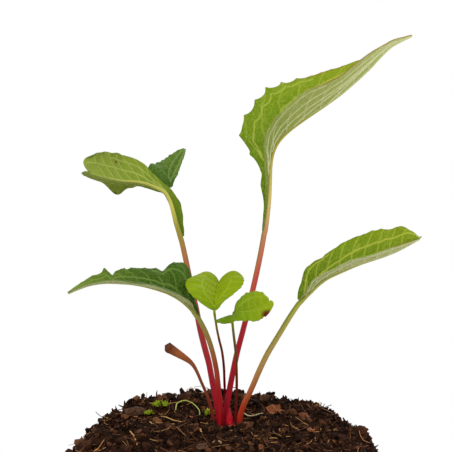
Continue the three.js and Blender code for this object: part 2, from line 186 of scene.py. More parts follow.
def loft_rings(node):
    """The loft's rings in order from its lower end, as an array of rings, points and x y z."""
    points, near = welded(node)
    ends = sorted(range(len(points)), key=lambda i: -len(near[i]))[:2]
    first = min(ends, key=lambda i: points[i][2])
    seen = {first}
    layer = [first]
    rings = []
    while layer:
        layer = sorted({j for i in layer for j in near[i]} - seen)
        seen.update(layer)
        if len(layer) > 1:
            rings.append(points[walk_round(layer, near)])
    centres = np.array([ring.mean(0) for ring in rings])
    ahead = np.gradient(centres, axis=0)
    turned = [one_way_round(ring, way) for ring, way in zip(rings, ahead)]
    return np.array(lined_up(turned))


def walk_round(layer, near):
    """The points of one ring in the order in which its edges join them."""
    ring = [layer[0]]
    left = set(layer[1:])
    while left:
        step = min(near[ring[-1]] & left)
        ring.append(step)
        left.remove(step)
    return ring


def one_way_round(ring, way):
    """Turns a ring so that it runs anticlockwise about the way ahead."""
    arms = ring - ring.mean(0)
    turn = np.cross(arms, np.roll(arms, -1, axis=0)).sum(0)
    return ring if turn @ way > 0 else ring[::-1]


def lined_up(rings):
    """Shifts each ring so that its first point follows on from the ring before."""
    result = [rings[0]]
    for ring in rings[1:]:
        before = result[-1] - result[-1].mean(0)
        shifts = [np.roll(ring, k, axis=0) for k in range(len(ring))]
        result.append(min(shifts, key=lambda r: np.abs(r - r.mean(0) - before).sum()))
    return result


def blade_lines(node):
    """A blade's left edge, midline and right edge, and the way its upper side faces."""
    rings = loft_rings(node)
    count = rings.shape[1]
    half = count // 2
    widest = max(rings, key=lambda ring: np.ptp(ring, axis=0).sum())

    def pairs(ring, shift):
        turned = np.roll(ring, -shift, axis=0)
        return turned[:half], turned[half:][::-1]

    def thickness(shift):
        top, bottom = pairs(widest, shift)
        return lengths(top - bottom).sum()

    shift = min(range(count), key=thickness)
    top, bottom = pairs(widest, shift)
    centre = (top + bottom) / 2
    rise = (centre[0] + centre[-1]) / 2 - centre[half // 2]
    if rise @ (top - bottom)[half // 2] < 0:
        shift = (shift + half) % count
    tops, bottoms = (np.array(side) for side in zip(*(pairs(ring, shift) for ring in rings)))
    mids = (tops + bottoms) / 2
    up = tops[:, half // 2] - bottoms[:, half // 2]
    return mids[:, 0], mids[:, half // 2], mids[:, -1], unit(up)


# --- Smooth lines and meshes -------------------------------------------------------------------

def smooth(samples, places):
    """A Catmull-Rom curve through evenly spaced samples, at places from 0 to their last."""
    last = len(samples) - 1
    start = np.clip(places.astype(int), 0, last - 1)
    share = (places - start).reshape(-1, *[1] * (samples.ndim - 1))
    a = samples[np.clip(start - 1, 0, last)]
    b = samples[start]
    c = samples[start + 1]
    d = samples[np.clip(start + 2, 0, last)]
    return b + 0.5 * share * (c - a + share * (2 * a - 5 * b + 4 * c - d + share * (3 * (b - c) + d - a)))


def even_places(line, count):
    """Places along a sampled line, evenly spaced by its length."""
    steps = lengths(np.diff(line, axis=0))
    reach = np.concatenate([[0], np.cumsum(steps)])
    return np.interp(np.linspace(0, reach[-1], count), reach, np.arange(len(line)))


def mean_radii(rings):
    return lengths(rings - rings.mean(1)[:, None]).mean(1)


def centre_line(node, count):
    """A loft's centre line and its radii, at evenly spaced places."""
    rings = loft_rings(node)
    centres = rings.mean(1)
    places = even_places(centres, count)
    return smooth(centres, places), smooth(mean_radii(rings), places)


def lengths(vectors):
    return np.linalg.norm(vectors, axis=-1)


def unit(vectors):
    return vectors / np.maximum(lengths(vectors), 1e-12)[..., None]


def make_object(name, points, faces, material, attributes=None, rounded=True):
    """A mesh object. attributes holds one value or one vector for each point."""
    mesh = bpy.data.meshes.new(name)
    mesh.from_pydata([tuple(p) for p in np.asarray(points, float)], [], faces)
    mesh.polygons.foreach_set("use_smooth", [rounded] * len(mesh.polygons))
    for key, values in (attributes or {}).items():
        values = np.asarray(values, np.float32)
        kind = "FLOAT" if values.ndim == 1 else "FLOAT_VECTOR"
        field = "value" if values.ndim == 1 else "vector"
        mesh.attributes.new(key, kind, "POINT").data.foreach_set(field, values.ravel())
    mesh.materials.append(material)
    piece = bpy.data.objects.new(name, mesh)
    bpy.context.scene.collection.objects.link(piece)
    return piece


def put(piece, slot, *nodes):
    """A piece of the root body, and the CAD nodes it stands for, which are hidden. slot is not used."""
    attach(piece, "root")
    if nodes:
        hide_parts(*nodes)


def grid_faces(rows, columns, start=0, wrap=False, flip=False):
    """Quads over a grid of points, one row after another."""
    faces = []
    across = columns if wrap else columns - 1
    for i in range(rows - 1):
        for j in range(across):
            a = start + i * columns + j
            b = start + i * columns + (j + 1) % columns
            quad = (a, b, b + columns, a + columns)
            faces.append(quad[::-1] if flip else quad)
    return faces


def closed_faces(rows, sides):
    """Faces over rings of points, closed by a fan to one more point at the first and last ring."""
    first = rows * sides
    last = first - sides
    faces = grid_faces(rows, sides, wrap=True)
    faces += [(first, (j + 1) % sides, j) for j in range(sides)]
    faces += [(first + 1, last + j, last + (j + 1) % sides) for j in range(sides)]
    return faces


def thick_sheet(top, bottom, flip=False):
    """The points and faces of a closed sheet between two grids of points."""
    rows, columns = top.shape[:2]
    count = rows * columns
    faces = grid_faces(rows, columns, flip=flip)
    faces += grid_faces(rows, columns, start=count, flip=not flip)
    loop = border(rows, columns)
    if flip:
        loop = loop[::-1]
    faces += [(b, a, a + count, b + count) for a, b in zip(loop, loop[1:] + loop[:1])]
    return np.vstack([top.reshape(-1, 3), bottom.reshape(-1, 3)]), faces


def border(rows, columns):
    """The outer points of a grid, in the order of its quads."""
    bottom = list(range(columns))
    right = [i * columns + columns - 1 for i in range(1, rows)]
    top = [(rows - 1) * columns + j for j in range(columns - 2, -1, -1)]
    left = [i * columns for i in range(rows - 2, 0, -1)]
    return bottom + right + top + left


def circle(reach, level, turns):
    """Points round the z axis."""
    return [(reach * math.cos(a), reach * math.sin(a), level) for a in turns]


def merged(bodies):
    """Several (points, faces) bodies as one."""
    faces = []
    start = 0
    for points, sides in bodies:
        faces += [tuple(i + start for i in face) for face in sides]
        start += len(points)
    return np.vstack([points for points, _ in bodies]), faces


def tube(line, radii, sides, side=(0.0, 0.0, 1.0), squash=1.0, shape=None):
    """A closed round tube along a line of points. side is the way its first seam faces."""
    ahead = unit(np.gradient(line, axis=0))
    across = unit(np.cross(ahead, np.asarray(side)))
    up = np.cross(across, ahead)
    angles = np.linspace(0, 2 * math.pi, sides, endpoint=False)
    form = shape(angles) if shape else np.ones(sides)
    upward = up[:, None] * (squash * np.cos(angles) * form)[None, :, None]
    outward = across[:, None] * (np.sin(angles) * form)[None, :, None]
    points = line[:, None] + (upward + outward) * radii[:, None, None]
    body = points.reshape(-1, 3)
    faces = closed_faces(len(line), sides)
    turn = np.tile(angles, len(line))
    along = np.repeat(np.linspace(0, 1, len(line)), sides)
    ends = [line[0] - ahead[0] * radii[0] * 0.3, line[-1] + ahead[-1] * radii[-1] * 0.6]
    return np.vstack([body, ends]), faces, np.append(along, [0, 1]), np.append(turn, [0, 0])


# --- Leaves ------------------------------------------------------------------------------------

LAMINA_THICKNESS = 0.5 * MM
LAMINA_SPACING = 0.34 * MM
RELIEF = 0.3 * MM
QUILT = 0.45 * MM
VEIN_REACH = 3 * MM
MIDRIB_WIDTH = 0.5 * MM
ARC_POINTS = 260
RUNG_POINTS = 70

# What each blade looks like. Places run from 0 at a blade's base to 1 at its tip, sides are -1 for
# left and 1 for right, and shares are of the half-width there.
# upper, under: colours from base to tip. vein, under_vein, edge: the colours of the veins and of
# the margin, which turns its colour from edge_from on.
# teeth: how many each margin has, how deep the left and right ones are in mm, how far they go.
# arch, wave: how far each half arches and its margin waves up and down, as shares.
# arcs: the strong side veins, as (place where they start, share that they run at, place where
# they end). rungs: the number of fine side veins.
# nicks: bites out of the margin, or growth where negative, as (side, place, length, depth).
# droops: where a margin hangs, as (side, place, length, mm). scars: brown damage, as (side,
# share, place, mm). lobes: how far each half's end is pushed on beside the midrib, in mm.
# tail: a margin's start moved, as (side, mm along, mm up).
YOUNG_BLADE = dict(
    under=[(140, 156, 50), (150, 166, 60), (150, 166, 60)],
    under_vein=(180, 188, 90), teeth=(0, (0, 0), 1), rungs=5, edge_from=0.95,
)
BLADES = {
    "tall_leaf": dict(
        upper=[(84, 116, 2), (118, 144, 4), (158, 172, 14)],
        under=[(112, 134, 36), (164, 176, 84), (196, 202, 122)],
        vein=(206, 210, 96), under_vein=(240, 240, 190),
        teeth=(21, (2.4, 0.7), 0.62), arch=0.07, wave=0.035,
        arcs=[(0.2, 0.84, 0.6), (0.22, 0.6, 0.93), (0.28, 0.38, 0.97), (0.42, 0.32, 0.98),
              (0.58, 0.3, 0.99)],
        rungs=9, edge=(150, 76, 40), edge_from=0.5,
        nicks=[(-1, 0.3, 0.05, -0.16), (-1, 0.22, 0.03, 0.3), (-1, 0.17, 0.05, -0.3)],
    ),
    "right_leaf": dict(
        upper=[(92, 118, 2), (110, 136, 4), (126, 146, 6)],
        under=[(160, 172, 96), (192, 198, 134), (192, 196, 130)],
        vein=(206, 206, 84), under_vein=(226, 228, 180),
        teeth=(11, (0.35, 0.35), 1), arch=0.1, wave=0.02,
        arcs=[(0.05, 0.86, 0.34), (0.07, 0.5, 0.98)],
        rungs=9, edge=(126, 84, 24), edge_from=0.75, lobes=(1.8, 0),
        nicks=[(-1, 0.99, 0.016, 0.7), (-1, 0.17, 0.05, -0.16)],
    ),
    "left_leaf": dict(
        upper=[(58, 92, 6), (60, 88, 12), (112, 130, 40)],
        under=[(184, 190, 128), (194, 198, 136), (150, 160, 88)],
        vein=(132, 158, 76), under_vein=(214, 218, 168),
        teeth=(15, (0.7, 0.7), 1), arch=0.1, wave=0.03,
        arcs=[(0.1, 0.8, 0.42), (0.12, 0.42, 0.96)],
        rungs=9, edge=(112, 100, 40), edge_from=0.9,
        nicks=[(1, 0.345, 0.022, 0.16), (1, 0.68, 0.014, 0.34), (1, 0.725, 0.014, -0.3),
               (1, 0.6, 0.01, -0.12)],
    ),
    "back_leaf": dict(
        upper=[(60, 96, 10), (76, 108, 18), (84, 114, 24)],
        under=[(84, 110, 14), (116, 136, 32), (140, 156, 64)],
        vein=(116, 140, 50), under_vein=(162, 174, 84),
        teeth=(5, (0.25, 0.25), 1), arch=0.12, wave=0.03,
        arcs=[(0.34, 0.72, 0.8), (0.36, 0.4, 0.97)],
        rungs=8, edge=(108, 112, 40), edge_from=0.85,
        droops=[(1, 0.7, 0.06, 3.4)], lobes=(5, 0), nicks=[(-1, 0.92, 0.12, -0.15)],
        scars=[(-1, 0.62, 0.74, 0.6), (1, 1.0, 0.71, 1.1)],
    ),
    "back_leaf_side": dict(
        upper=[(62, 94, 20), (86, 116, 36), (90, 118, 36)],
        under=[(110, 130, 50), (130, 148, 68), (130, 148, 68)],
        vein=(142, 164, 92), under_vein=(160, 176, 110),
        teeth=(4, (0.4, 0.4), 1), arch=0.08, wave=0.03, arcs=[(0.1, 0.45, 0.96)],
        rungs=5, edge=(90, 120, 30), edge_from=0.95,
        nicks=[(-1, 0.12, 0.14, -1.2), (1, 0.2, 0.2, -0.2)], tail=(-1, -2.5, 0),
    ),
    "heart_leaf": dict(
        upper=[(118, 144, 0), (134, 156, 0), (132, 152, 6)],
        vein=(160, 178, 30), arch=0.16, wave=0.02, arcs=[(0.08, 0.5, 0.8)],
        edge=(160, 176, 60), lobes=(3.2, 4.6), nicks=[(-1, 0.97, 0.02, 0.05)], **YOUNG_BLADE,
    ),
    "small_leaf": dict(
        upper=[(92, 122, 6), (118, 144, 2), (146, 164, 0)],
        vein=(150, 170, 40), arch=0.14, wave=0.03, arcs=[(0.08, 0.5, 0.85)],
        edge=(150, 150, 30), lobes=(0.5, 4.2), scars=[(1, 0.94, 0.95, 2.6)],
        nicks=[(1, 0.9, 0.03, 0.1)], tail=(1, -7.5, 4.5), **YOUNG_BLADE,
    ),
}


def leaf_material(name, look):
    upper_stops = list(zip((0.05, 0.45, 1), (rgb(*color) for color in look["upper"])))
    under_stops = list(zip((0.05, 0.45, 1), (rgb(*color) for color in look["under"])))

    def build(tree):
        along = stored(tree, "along")
        lay = stored(tree, "lay", "Vector")
        under = stored(tree, "under")
        vein = stored(tree, "vein")
        patches = speckle(tree, place(tree), 90, 4)
        fine = speckle(tree, lay, 900, 3)
        cells = add(tree, "TexVoronoi", {"Vector": lay, "Scale": 560.0}, feature="DISTANCE_TO_EDGE")
        net = cells.outputs[0]
        mesh_lines = calc(tree, "SUBTRACT", 1.0, times(tree, net, 8.0))
        top = ramp(tree, along, upper_stops)
        top = shaded(tree, times(tree, patches, 0.8), top, (0.62, 0.74, 0.5))
        top = mix(tree, times(tree, mesh_lines, 0.2), top, rgb(*look["vein"]))
        top = mix(tree, times(tree, vein, 0.58), top, rgb(*look["vein"]))
        low = ramp(tree, along, under_stops)
        low = shaded(tree, times(tree, patches, 0.45), low, (0.74, 0.82, 0.6))
        low = mix(tree, times(tree, mesh_lines, 0.16), low, rgb(*look["under_vein"]))
        low = mix(tree, vein, low, rgb(*look["under_vein"]))
        color = mix(tree, under, top, low)
        color = shaded(tree, times(tree, fine, 0.28), color, (0.7, 0.76, 0.6))
        color = mix(tree, stored(tree, "margin"), color, rgb(*look["edge"]))
        color = mix(tree, stored(tree, "scar"), color, rgb(92, 34, 12))
        rough = plus(tree, 0.42, times(tree, under, 0.2))
        rough = plus(tree, rough, times(tree, fine, 0.12))
        height = plus(tree, times(tree, net, 3.0), fine)
        return color, rough, height, 0.00022

    return finish_material(name, build, Specular_IOR_Level=0.08)


def vein_paths(look):
    """The veins of one half: (share of the half-width, place, width, strength) of each."""
    paths = []
    q = np.linspace(0, 1, ARC_POINTS)
    for start, reach, end in look["arcs"]:
        paths.append((reach * (1 - (1 - q) ** 3), start + (end - start) * q, 0.42 * MM, 1.0))
    q = np.linspace(0, 1, RUNG_POINTS)
    first = look["arcs"][0][0]
    for k in range(look["rungs"]):
        begin = first + (0.9 - first) * (k + 0.5) / look["rungs"]
        paths.append((0.97 * q, begin + 0.11 * q ** 1.4, 0.32 * MM, 0.75))
    return paths


def bend(look, key, side, along):
    """Sums a blade's nicks or droops of one side over its length."""
    total = np.zeros_like(along)
    for at_side, at, reach, depth in look.get(key, []):
        if at_side == side:
            total += depth * np.exp(-((along - at) / reach) ** 2)
    return total


def margin_width(look, side, along, width):
    """The half-width with the margin's teeth, nicks and small unevenness."""
    count, depths, until = look["teeth"]
    depth = depths[0 if side < 0 else 1]
    phase = (along * count + (0.35 if side > 0 else 0) + 0.2 * np.sin(along * 19)) % 1
    tooth = (1 - np.abs(2 * phase - 1)) ** 2.5 if count else np.zeros_like(along)
    tooth *= np.clip((until - along) * 8, 0.12, 1) * np.clip((along - 0.18) * 10, 0.1, 1)
    full = np.clip(width / (7 * MM), 0, 1)
    grown = width + depth * MM * (tooth - 0.25) * full + 0.2 * MM * np.sin(along * 61 + side) * full
    return grown * (1 - bend(look, "nicks", side, along))


def half_blade(look, side, along, share, middle, ahead, up, arm, slide):
    """One half as a grid of points. slide is how far the midline has left its place in the CAD."""
    width = lengths(arm)
    grown = margin_width(look, side, along, width)
    arch = look["arch"] * np.sin(share * math.pi * 0.86) ** 1.2
    wave = look["wave"] * np.sin(along * 23 + 2 * side)[:, None] * share ** 2
    lift = grown[:, None] * (arch[None] + wave)
    lift -= bend(look, "droops", side, along)[:, None] * MM * 0.3 * np.clip(share * 4 - 3, 0, 1) ** 2
    lobe = look.get("lobes", (0, 0))[0 if side < 0 else 1] * MM
    push = lobe * np.sin(share * math.pi * 0.94)[None] ** 0.8 * (along ** 2.5)[:, None]
    tail_side, tail, tail_lift = look.get("tail", (0, 0, 0))
    if tail_side == side:
        reach = (share ** 1.3)[None] * np.exp(-(along / 0.24) ** 2)[:, None]
        push += tail * MM * reach
        lift += tail_lift * MM * reach
    grid = middle[:, None] + (unit(arm) * grown[:, None])[:, None] * share[None, :, None]
    grid = grid - slide[:, None] * share[None, :, None]
    grid[..., 2] -= bend(look, "droops", side, along)[:, None] * MM * np.clip(share * 4 - 3, 0, 1) ** 1.5
    return grid + up[:, None] * lift[..., None] + ahead[:, None] * push[..., None]


def on_blade(grid, side, across, forward):
    """Points of a blade at shares of the half-width and places along it."""
    rows, columns = grid.shape[:2]
    half = columns // 2
    return sample_grid(grid, forward * (rows - 1), half + side * across * half)


def vein_field(look, grid, signed, nearest):
    """How much each point belongs to a vein, and its distance from the nearest one.

    nearest comes in as the distance from the midrib."""
    vein = np.exp(-(nearest / MIDRIB_WIDTH) ** 2)
    fade = np.clip(1.15 - np.abs(signed)[None] * 0.45, 0, 1)
    for side in (-1, 1):
        for across, forward, width, strength in vein_paths(look):
            keep = forward < 0.99
            line = on_blade(grid, side, across[keep], forward[keep])
            gap = gap_to_line(grid, line, VEIN_REACH)
            nearest = np.minimum(nearest, gap)
            vein = np.maximum(vein, strength * fade * np.exp(-(gap / width) ** 2))
    return vein, nearest


def scar_field(look, grid):
    """How brown each point is."""
    scar = np.zeros(grid.shape[:2])
    for side, across, forward, size in look.get("scars", []):
        spot = on_blade(grid, side, np.array([across]), np.array([forward]))
        gap = lengths(grid - spot)
        scar = np.maximum(scar, np.exp(-(gap / (size * MM)) ** 4))
    return scar


def lamina(name, node, look, slot, spine=None):
    """A thin two-sided blade with veins. spine moves the midline and says how far, row by row."""
    left, middle, right, up = blade_lines(node)
    length = lengths(np.diff(middle, axis=0)).sum()
    widest = max(lengths(side - middle).max() for side in (left, right))
    rows = int(np.clip(length / LAMINA_SPACING, 90, 350))
    half = int(np.clip(widest / LAMINA_SPACING, 24, 56))
    places = even_places(middle, rows)
    cad_middle = smooth(middle, places)
    up = unit(smooth(up, places))
    along = np.linspace(0, 1, rows)
    share = np.linspace(0, 1, half + 1)
    arms = {-1: smooth(left, places) - cad_middle, 1: smooth(right, places) - cad_middle}
    middle, slide = spine(cad_middle, up, along) if spine else (cad_middle, np.zeros_like(up))
    ahead = unit(np.gradient(middle, axis=0))
    halves = {side: half_blade(look, side, along, share, middle, ahead, up, arm, slide)
              for side, arm in arms.items()}
    grid = np.concatenate([halves[-1][:, :0:-1], halves[1]], axis=1)
    columns = grid.shape[1]
    signed = np.concatenate([-share[:0:-1], share])
    normal = unit(np.cross(np.gradient(grid, axis=1), np.gradient(grid, axis=0)))
    if (normal[:, half] * up).sum() < 0:
        normal = -normal

    nearest = lengths(grid - middle[:, None])
    vein, nearest = vein_field(look, grid, signed, nearest)
    bulge = QUILT * (1 - np.exp(-(nearest / (2 * MM)) ** 2)) * np.clip(1.2 - np.abs(signed), 0, 1)[None]
    surface = grid + normal * bulge[..., None]
    thick = LAMINA_THICKNESS * (1 - 0.45 * signed ** 2)[None, :, None] / 2
    top = surface + normal * (thick - RELIEF * 0.5 * vein[..., None])
    bottom = surface - normal * (thick + 1.6 * RELIEF * vein[..., None])

    rim_share = np.clip((np.abs(signed) - 0.93) / 0.07, 0, 1)[None]
    margin = 0.75 * rim_share * np.clip((along - look["edge_from"]) * 8, 0, 1)[:, None]
    steps = lengths(np.diff(grid, axis=1))
    reach = np.concatenate([np.zeros((rows, 1)), np.cumsum(steps, axis=1)], axis=1)
    forward = np.repeat(along[:, None], columns, 1)
    lay = np.stack([reach, forward * length, np.zeros(vein.shape)], axis=2)

    count = rows * columns
    points, faces = thick_sheet(top, bottom, outward_flip(top, normal))

    def both(field):
        return np.concatenate([field.reshape(count, -1)] * 2).squeeze()

    attributes = {"vein": both(vein), "scar": both(scar_field(look, grid)), "margin": both(margin),
                  "lay": both(lay), "along": both(forward), "under": np.repeat([0.0, 1.0], count)}
    piece = make_object(name, points, faces, leaf_material(name, look), attributes)
    put(piece, slot, node)


def outward_flip(top, normal):
    """Whether quads in grid order face against the given normals."""
    votes = np.cross(top[:-1, 1:] - top[:-1, :-1], top[1:, :-1] - top[:-1, :-1])
    return (votes * normal[:-1, :-1]).sum() < 0


def sample_grid(grid, rows, cols):
    """Points of a grid at fractional rows and columns."""
    i = np.clip(rows.astype(int), 0, grid.shape[0] - 2)
    j = np.clip(cols.astype(int), 0, grid.shape[1] - 2)
    a = (rows - i)[:, None]
    b = (cols - j)[:, None]
    low = grid[i, j] * (1 - b) + grid[i, j + 1] * b
    high = grid[i + 1, j] * (1 - b) + grid[i + 1, j + 1] * b
    return low * (1 - a) + high * a


def gap_to_line(grid, line, reach):
    """How far each grid point is from a line of close points, up to reach."""
    tree = kdtree.KDTree(len(line))
    for k, point in enumerate(line):
        tree.insert(point, k)
    tree.balance()
    flat = grid.reshape(-1, 3)
    inside = ((flat > line.min(0) - reach) & (flat < line.max(0) + reach)).all(1)
    gap = np.full(len(flat), reach)
    for k in np.flatnonzero(inside):
        gap[k] = min(reach, tree.find(flat[k])[2])
    return gap.reshape(grid.shape[:2])


# Stalk colours from the crown to the blade's tip: (place, colour).
STALKS = {
    "tall_leaf": [(0, (164, 8, 30)), (0.2, (184, 24, 44)), (0.34, (198, 70, 66)), (0.44, (206, 128, 98)),
                  (0.51, (222, 196, 120)), (0.6, (204, 186, 84)), (0.72, (196, 192, 84)),
                  (1, (180, 180, 80))],
    "right_leaf": [(0, (186, 20, 20)), (0.1, (196, 62, 34)), (0.2, (196, 124, 70)),
                   (0.3, (204, 168, 96)), (0.42, (198, 184, 92)), (0.55, (186, 184, 76)),
                   (0.68, (204, 202, 104)), (1, (190, 190, 92))],
    "left_leaf": [(0, (160, 8, 28)), (0.18, (172, 30, 34)), (0.3, (172, 84, 50)), (0.4, (160, 136, 66)),
                  (0.52, (172, 172, 84)), (0.7, (188, 190, 110)), (1, (150, 156, 72))],
    "back_leaf": [(0, (168, 12, 36)), (0.2, (182, 36, 50)), (0.34, (184, 66, 62)), (0.5, (178, 92, 66)),
                  (0.58, (168, 120, 66)), (0.64, (146, 140, 48)), (0.72, (190, 186, 84)),
                  (1, (168, 174, 84))],
    "heart_leaf": [(0, (120, 10, 26)), (0.4, (126, 20, 26)), (0.62, (126, 60, 20)), (0.74, (136, 124, 20)),
                   (1, (150, 168, 30))],
    "small_leaf": [(0, (104, 12, 20)), (0.4, (108, 30, 18)), (0.62, (116, 88, 20)), (0.74, (138, 142, 24)),
                   (1, (150, 168, 40))],
}
STALK_SIDES = 22
STALK_ROWS = 170
STALK_ROOTING = 5 * MM
CHANNEL_DEPTH = 0.22
CHANNEL_SPREAD = 0.5
CHANNEL_COLOR = (84, 110, 14)
RIB_THINNING = 0.62
# The blade lies on its stalk up to WING_END of its length, and rises to its CAD
# place over the next WING_RISE.
WING_END = 0.08
WING_RISE = 0.24
# How far above the stalk's centre the blade sits, and how far below the blade the rib runs, as
# shares of the stalk's radius.
BLADE_SEAT = 0.35
RIB_DROP = 0.55
WITHERED_ROWS = 80
BUD_ROWS = 40


def stalk_material(name, stops):
    colors = [(position, rgb(*color)) for position, color in stops]

    def build(tree):
        lay = stored(tree, "lay", "Vector")
        streaks = speckle(tree, stretched(tree, lay, (1.6, 60, 1)), 1.0, 3)
        blush = speckle(tree, place(tree), 160, 3)
        along = plus(tree, stored(tree, "along"), times(tree, blush, 0.02))
        color = ramp(tree, along, colors)
        color = shaded(tree, times(tree, streaks, 0.4), color, (0.72, 0.6, 0.5))
        color = mix(tree, stored(tree, "channel"), color, rgb(*CHANNEL_COLOR))
        rough = plus(tree, 0.34, times(tree, blush, 0.2))
        return color, rough, streaks, 0.00012

    return finish_material(name, build, Specular_IOR_Level=0.14)


def around_seam(angles):
    """Angles as distances from the seam, either way round."""
    return np.minimum(angles % (2 * math.pi), -angles % (2 * math.pi))


def stalk_section(angles):
    """Faint ribs all round and a channel along the upper side."""
    channel = CHANNEL_DEPTH * np.exp(-(around_seam(angles) / CHANNEL_SPREAD) ** 2)
    return 1 + 0.03 * np.cos(6 * angles) - channel


def leaf(name, look, stops, slot, channel):
    """A stalk that runs on as the blade's midrib, and the blade, joined without a gap.

    In the CAD the blade floats above its stalk. Here the blade comes down onto the stalk along its
    wings, and further out the midrib rises to the blade.
    """
    line, radii = centre_line(name + "_stem", 4 * STALK_ROWS)
    shared = {}

    def spine(cad_middle, up, along):
        nearest = np.array([lengths(line - point).argmin() for point in cad_middle])
        rise = np.clip((along - WING_END) / WING_RISE, 0, 1)[:, None]
        rise = rise * rise * (3 - 2 * rise)
        thin = (radii[nearest] * (1 - RIB_THINNING * along))[:, None]
        seat = line[nearest] + up * BLADE_SEAT * thin
        middle = seat + (cad_middle - seat) * rise
        shared.update(start=nearest[0], rib=middle - up * RIB_DROP * thin, thin=thin[:, 0], up=up)
        return middle, (middle - cad_middle) * rise

    lamina(name + "_lamina", name + "_blade", look, slot, spine)
    free = slice(0, max(2, shared["start"] - 4), 4)
    below = line[free]
    ground = below[0] + unit(below[0] - below[1]) * STALK_ROOTING
    path = np.vstack([ground, below, shared["rib"][2::3]])
    swell = np.concatenate([[radii[0] * 1.35], radii[free], shared["thin"][2::3]])
    facing = np.vstack([np.repeat(shared["up"][:1], len(below) + 1, 0), shared["up"][2::3]])
    even = even_places(path, STALK_ROWS)
    path, swell, facing = (smooth(samples, even) for samples in (path, swell, facing))
    points, faces, along, turn = tube(path, swell, STALK_SIDES, side=facing, shape=stalk_section)
    length = lengths(np.diff(path, axis=0)).sum()
    lay = np.stack([turn, along * length, np.zeros(len(turn))], axis=1)
    green = channel * np.exp(-(around_seam(turn - 0.3) / 0.95) ** 2) * np.clip(along * 4 - 0.9, 0, 1)
    attributes = {"along": along, "lay": lay, "channel": green}
    paint = stalk_material(name + "_petiole", stops)
    piece = make_object(name + "_petiole", points, faces, paint, attributes)
    put(piece, "stalk_red", name + "_stem")


def plant_leaves():
    slots = {"left_leaf": "leaf_dark", "heart_leaf": "leaf_young", "small_leaf": "leaf_young"}
    for name, stops in STALKS.items():
        channel = 0.3 if name in ("heart_leaf", "small_leaf") else 0.85
        leaf(name, BLADES[name], stops, slots.get(name, "leaf_green"), channel)
    lamina("back_leaf_side_lamina", "back_leaf_side_blade", BLADES["back_leaf_side"], "leaf_dark")


def plain_stalk(name, slot, node, body, stops, length):
    """A tube in one run of colours, with no channel."""
    points, faces, along, turn = body
    nothing = np.zeros(len(turn))
    lay = np.stack([turn, along * length, nothing], axis=1)
    attributes = {"along": along, "lay": lay, "channel": nothing}
    put(make_object(name, points, faces, stalk_material(name, stops), attributes), slot, node)


def withered_stalk():
    """An old leaf's stalk, dried to a brown ribbon that widens to a torn end."""
    line, radii = centre_line("withered_stem", WITHERED_ROWS)
    radii *= 0.95 + 0.8 * np.linspace(0, 1, WITHERED_ROWS) ** 4
    points, faces, along, turn = tube(line, radii, 20, squash=0.3, side=(0.0, 1.0, 0.0))
    torn = np.clip((along - 0.96) / 0.04, 0, 1) * np.sin(3 * turn + 0.7) * 1.3 * MM
    points = points + torn[:, None] * unit(line[-1] - line[-4])
    stops = [(0, (112, 26, 30)), (0.25, (124, 48, 34)), (0.55, (142, 74, 40)), (0.9, (158, 92, 48)),
             (1, (96, 50, 30))]
    body = (points, faces, along, turn)
    plain_stalk("withered_ribbon", "withered", "withered_stem", body, stops, 50 * MM)


def bud_section(angles):
    """Three ridges, like those of overlapping scales."""
    return 1 + 0.1 * np.cos(3 * angles + 0.6)


def bud():
    """A red bud at the crown."""
    line, radii = centre_line("bud_sheath", BUD_ROWS)
    stops = [(0, (214, 190, 160)), (0.1, (206, 120, 96)), (0.25, (196, 22, 40)), (1, (150, 10, 30))]
    body = tube(line, radii, 20, shape=bud_section)
    plain_stalk("bud_scales", "bud_red", "bud_sheath", body, stops, 10 * MM)


# --- Soil and what lies on it ------------------------------------------------------------------

SOIL_RINGS = 170
SOIL_SECTORS = 340
# Inside the clearing round the crown, the mound dips to this far below the clearing's lowest edge.
CROWN_CLEARING = 12 * MM
CROWN_SINK = 1.6 * MM
# Sizes of crumbs are radii. Crumbs and fibres keep their own distance from the plant's axis.
CRUMB_COUNT = 9500
CRUMB_SHAPES = 24
CRUMB_BATCHES = 4
CRUMB_SIZE = 0.55 * MM
CRUMB_LIMIT = 3.1 * MM
CRUMB_CLEARING = 6 * MM
SLIVER_EVERY = 4
SLIVER_LIMIT = 1.5 * MM
DARK_FIBRES = 260
PALE_FIBRES = 130
FIBRE_CLEARING = 9 * MM
FIBRE_EDGE = 3 * MM
FIBRE_POINTS = 7
LUMP_SINK = 0.9 * MM
CHIP_ROWS = 26
CHIP_COLUMNS = 20
MOSS_SHOOTS = 90
MOSS_RADIUS = 0.55 * MM
STRAND_ROWS = 36
SPROUT_ROWS = 60
SPROUT_DROOP = 0.66
SPROUT_THINNING = 0.55


def soil_height():
    """A function that gives the height of the mound at x, y from the CAD soil."""
    mesh = frame["nodes"]["soil"].data
    corners = [v.co for v in mesh.vertices]
    tree = BVHTree.FromPolygons(corners, [tuple(p.vertices) for p in mesh.polygons])
    low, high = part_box("soil")

    def drop(x, y):
        hit = tree.ray_cast(Vector((x, y, high.z + 0.05)), Vector((0, 0, -1)))[0]
        return hit.z if hit else low.z

    turns = np.linspace(0, 6.28, 24)
    around = [drop(x, y) for x, y, _ in circle(CROWN_CLEARING, 0, turns)]
    pit = min(around) - CROWN_SINK

    def height(x, y):
        reach = math.hypot(x, y)
        if reach >= CROWN_CLEARING:
            return drop(x, y)
        share = max(reach, 1e-6) / CROWN_CLEARING
        rim = drop(x / share, y / share)
        return pit + (rim - pit) * share ** 2

    return height


def ruffle(x, y):
    """The lumps and crumbs of the soil's surface, in metres."""
    point = Vector((x, y, 0.0))
    coarse = noise.noise(point * 95) * 4.6
    middle = noise.noise(point * 260 + Vector((3, 7, 1))) * 3.0
    cells = noise.voronoi(point * 330)[0][0] * -2.2 + 0.8
    fine = noise.noise(point * 900) * 0.6
    return (coarse + middle + cells + fine) * MM


